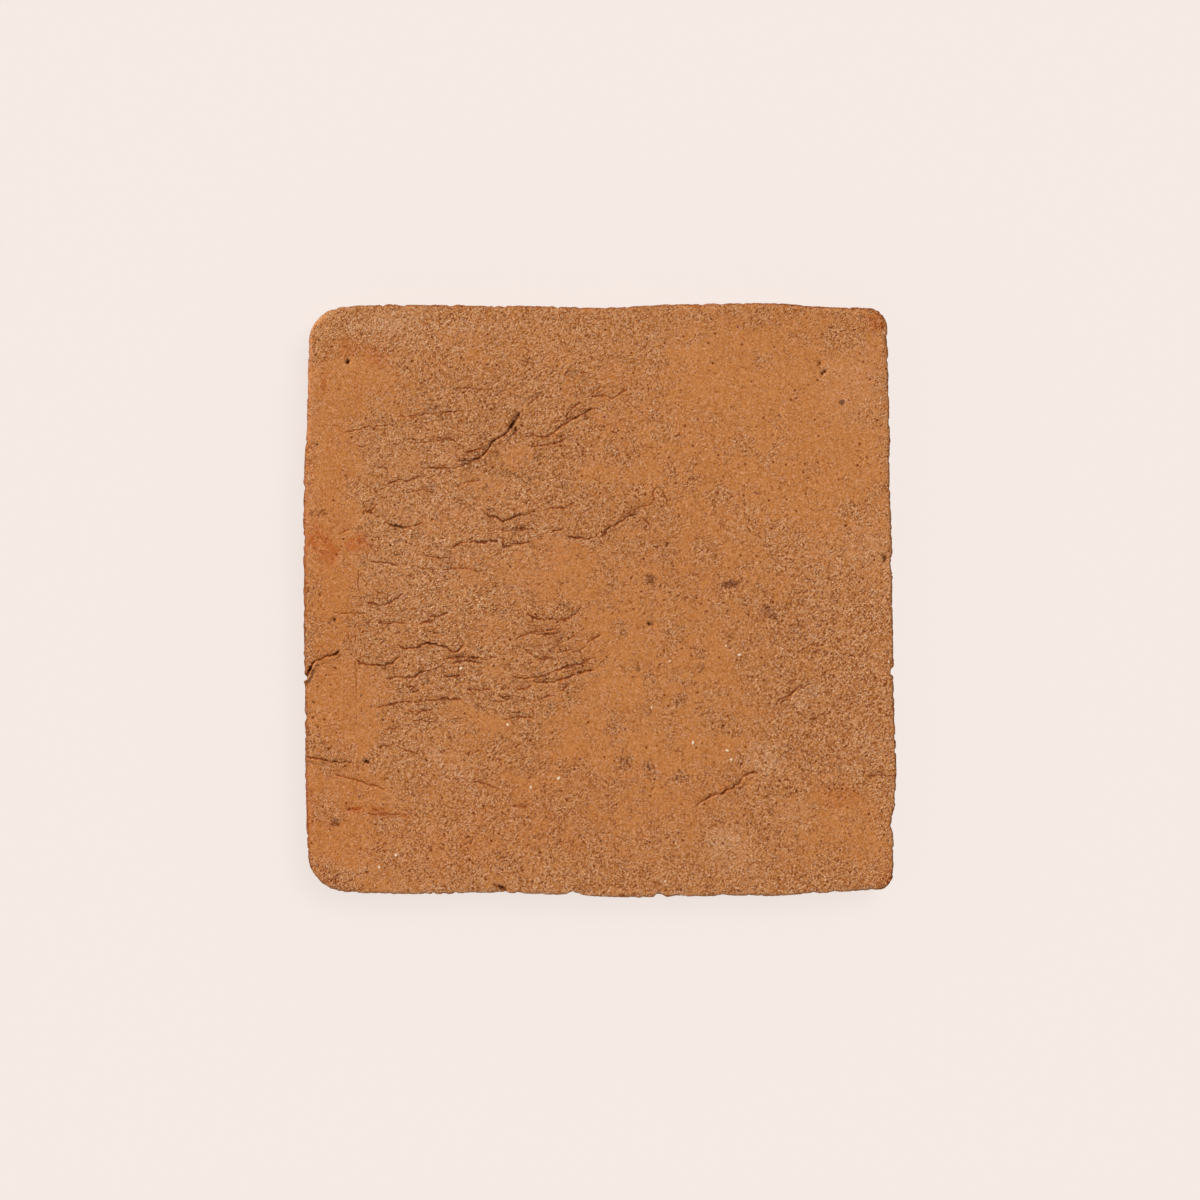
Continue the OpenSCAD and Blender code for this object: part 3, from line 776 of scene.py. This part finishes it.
# Dirt and deep shade in the clefts of the folds: browner in the narrow ones, whose edges are more ragged
# and which break off in places, and nearly black in the wide ones.
off_line = maths("ABSOLUTE", attribute("fold_offset"))
half_open = attribute("fold_opening")
shade_edge = maths("DIVIDE", off_line, maths("ADD", half_open, 0.10))
ragged_by = maths("MULTIPLY_ADD", between(half_open, 0.2, 0.3), -1.8, 2.6)
shade_edge = maths("MULTIPLY_ADD", maths("SUBTRACT", cloud(0.6, 3, 0.7), 0.5), ragged_by, shade_edge)
cleft = maths("MULTIPLY", between(shade_edge, 1.35, 0.6), between(half_open, 0.03, 0.11))
torn_line = maths("MAXIMUM", between(cloud(0.9, 3, 0.7), 0.3, 0.46), between(half_open, 0.2, 0.28))
cleft = maths("MULTIPLY", cleft, torn_line)
dirt_and_shade = blend(between(half_open, 0.22, 0.38), srgb(128, 54, 18), srgb(74, 28, 8))
colour = blend(maths("MULTIPLY", cleft, 0.8), colour, dirt_and_shade)

# Flakes too fine for the mesh: the torn skin lies in small steps, level on the left and rising
# where it slid. Each step drops sharply and climbs back slowly.
level_size = (7 * MM, 2.2 * MM, MM)
rising_size = (6 * MM, 2.2 * MM, MM)
rising_turn = (0, 0, math.radians(35))
level = add("Mapping", {"Vector": position, "Scale": level_size}, vector_type="TEXTURE").outputs[0]
rising = add("Mapping", {"Vector": position, "Rotation": rising_turn, "Scale": rising_size},
             vector_type="TEXTURE").outputs[0]
slants = between(attribute("slanting"), 0.4, 0.6)
step_space = add("Mix", {0: slants, 4: level, 5: rising}, data_type="VECTOR").outputs[1]
bend = cloud(1.25, 3.0, 0.5, step_space)
down_slope = maths("MULTIPLY", add("SeparateXYZ", {"Vector": step_space}).outputs[1], -0.55)
past_step = maths("FRACT", maths("MULTIPLY_ADD", bend, 5.0, down_slope))
torn_here = add("TexNoise", {"Vector": step_space, "Scale": 1.3, "Detail": 2.0, "Roughness": 0.5},
                noise_dimensions="4D").outputs["Fac"]
step_drop = maths("MULTIPLY", between(past_step, 0.30, 0.0), between(torn_here, 0.40, 0.53))
step_drop = maths("MULTIPLY", step_drop, between(attribute("crease_depth"), 0.1, 0.7))
step_drop = maths("MULTIPLY", step_drop, maths("MULTIPLY_ADD", sand_cover, 0.8, 0.2))
# A dark line painted at the foot of each drop: painted shade of the step.
step_shade_line = maths("MULTIPLY", between(past_step, 0.10, 0.0), between(step_drop, 0.2, 0.9))
colour = blend(maths("MULTIPLY", step_shade_line, 0.6), colour, srgb(128, 58, 22))

# The large grains of quartz and the brown pebble that stand out of the face.
colour = blend(between(attribute("quartz"), 0.3, 0.6), colour, srgb(240, 214, 182))
colour = blend(between(attribute("pebble"), 0.25, 0.5), colour, srgb(110, 68, 38))

# Each grain's face is turned its own way. Over that lie the grit, the pores and the steps.
bump_height = 0.8 * MM
tilt = maths("MULTIPLY_ADD", sand_cover, 0.10, 0.34)
facet = add("VectorMath", {0: grain.outputs["Color"], 1: (0.5, 0.5, 0.5)}, operation="SUBTRACT").outputs[0]
facet = add("VectorMath", {0: facet, "Scale": tilt}, operation="SCALE").outputs[0]
face_normal = add("NewGeometry", {}).outputs["Normal"]
turned = add("VectorMath", {0: face_normal, 1: facet}, operation="ADD").outputs[0]
turned = add("VectorMath", {0: turned}, operation="NORMALIZE").outputs[0]
bumps = maths("MULTIPLY", maths("SUBTRACT", grit_form, 0.5), maths("MULTIPLY_ADD", sand_cover, 0.95, 0.25))
bumps = maths("SUBTRACT", bumps, maths("MULTIPLY", pore, 0.08))
bumps = maths("SUBTRACT", bumps, maths("MULTIPLY", step_drop, 0.6))
relief_bump = add("Bump", {"Height": bumps, "Strength": 1.0, "Distance": bump_height, "Normal": turned})

# Only the clear crystals shine; the clay and the gaps are dead matt.
shine = maths("MULTIPLY", between(grain_kind, 0.55, 0.62), between(grain_tone, 0.3, 0.6))
shine = maths("MULTIPLY", shine, maths("SUBTRACT", 1.0, maths("MAXIMUM", crevice_shade, cleft)))
clay_shader = add("BsdfPrincipled", {"Base Color": colour,
                                     "Roughness": maths("MULTIPLY_ADD", shine, -0.45, 0.95),
                                     "Specular IOR Level": maths("MULTIPLY", shine, 0.6),
                                     "Normal": relief_bump.outputs[0]})
add("OutputMaterial", {"Surface": clay_shader.outputs[0]})
mesh.materials.append(fired_clay)


# ---- Floor, light and camera ---------------------------------------------------------------
# A plain pale sheet of paper just under the tile. It shows its own flat colour, keeps the tile's
# soft shadow and throws its light back on the tile's sides. From below it is open to light and eye.

floor_tone = srgb(246, 235, 229)
floor_gap = 0.1 * MM
floor_half = 6
floor_place = Matrix.Translation((0, 0, low.z - floor_gap))
paper_sheet = bmesh.new()
bmesh.ops.create_grid(paper_sheet, x_segments=1, y_segments=1, size=floor_half, matrix=floor_place)
floor_mesh = bpy.data.meshes.new("floor")
paper_sheet.to_mesh(floor_mesh)
paper_sheet.free()
floor = bpy.data.objects.new("floor", floor_mesh)
bpy.context.scene.collection.objects.link(floor)


def either(first, second, tree):
    return add("Math", {0: first, 1: second}, tree, operation="MAXIMUM").outputs[0]


def looked_at(tree):
    """1 for what is seen straight, in a mirror or through glass; 0 for the light that falls on the tile."""
    ray = add("LightPath", {}, tree).outputs
    return either(either(ray["Is Camera Ray"], ray["Is Glossy Ray"], tree), ray["Is Transmission Ray"], tree)


# Most of the paper's look is its own flat colour; the rest is lit, and so takes the shadow. It lets
# through what comes from below, and what has come less than under_tile_reach, from the tile's underside.
flat_look = 0.87
under_tile_reach = 1.5 * MM
paper = bpy.data.materials.new("paper")
paper.use_nodes = True
sheet = paper.node_tree
sheet.nodes.clear()
lit_paper = add("BsdfDiffuse", {"Color": floor_tone}, sheet).outputs[0]
flat_paper = add("Emission", {"Color": floor_tone}, sheet).outputs[0]
flat_share = add("Math", {0: looked_at(sheet), 1: flat_look}, sheet, operation="MULTIPLY").outputs[0]
upper_face = add("MixShader", {0: flat_share, 1: lit_paper, 2: flat_paper}, sheet).outputs[0]
ray_length = add("LightPath", {}, sheet).outputs["Ray Length"]
under_tile = add("Math", {0: ray_length, 1: under_tile_reach}, sheet, operation="LESS_THAN").outputs[0]
opened = either(add("NewGeometry", {}, sheet).outputs["Backfacing"], under_tile, sheet)
clear = add("BsdfTransparent", {}, sheet).outputs[0]
paper_look = add("MixShader", {0: opened, 1: upper_face, 2: clear}, sheet).outputs[0]
add("OutputMaterial", {"Surface": paper_look}, sheet)
floor_mesh.materials.append(paper)

world = bpy.data.worlds.new("studio")
bpy.context.scene.world = world
world.use_nodes = True
air = world.node_tree
air.nodes.clear()
soft_light_strength = 0.42
soft_light = add("Background", {"Color": (1, 1, 1, 1), "Strength": soft_light_strength}, air).outputs[0]
backdrop = add("Background", {"Color": floor_tone, "Strength": 1.0}, air).outputs[0]
studio = add("MixShader", {0: looked_at(air), 1: soft_light, 2: backdrop}, air).outputs[0]
add("OutputWorld", {"Surface": studio}, air)


def sun(name, energy, spread, turn, rise, lit_object):
    """A distant lamp that lights one object. Its spread, its turn from the back towards the right and its
    rise are in degrees."""
    lamp = bpy.data.lights.new(name, "SUN")
    lamp.energy = energy
    lamp.angle = math.radians(spread)
    lamp_object = bpy.data.objects.new(name, lamp)
    turn, rise = math.radians(turn), math.radians(rise)
    towards = Vector((math.sin(turn) * math.cos(rise), math.cos(turn) * math.cos(rise), math.sin(rise)))
    lamp_object.rotation_euler = towards.to_track_quat("Z", "Y").to_euler()
    bpy.context.scene.collection.objects.link(lamp_object)
    lit_only = bpy.data.collections.new(name + "_lights")
    lit_only.objects.link(lit_object)
    lamp_object.light_linking.receiver_collection = lit_only


sun("window", energy=3.55, spread=7, turn=-45, rise=36, lit_object=tile)
sun("ceiling", energy=1.9, spread=28, turn=45, rise=66, lit_object=floor)

view_height = 1.5
view_width = 0.4046
camera = bpy.data.cameras.new("camera")
camera.sensor_width = 36
camera.lens = camera.sensor_width * (view_height - high.z) / view_width
camera.clip_end = 20
camera_object = bpy.data.objects.new("camera", camera)
camera_object.location = (0, 0, view_height)
bpy.context.scene.collection.objects.link(camera_object)
bpy.context.scene.camera = camera_object
bpy.context.scene.view_settings.view_transform = "Standard"
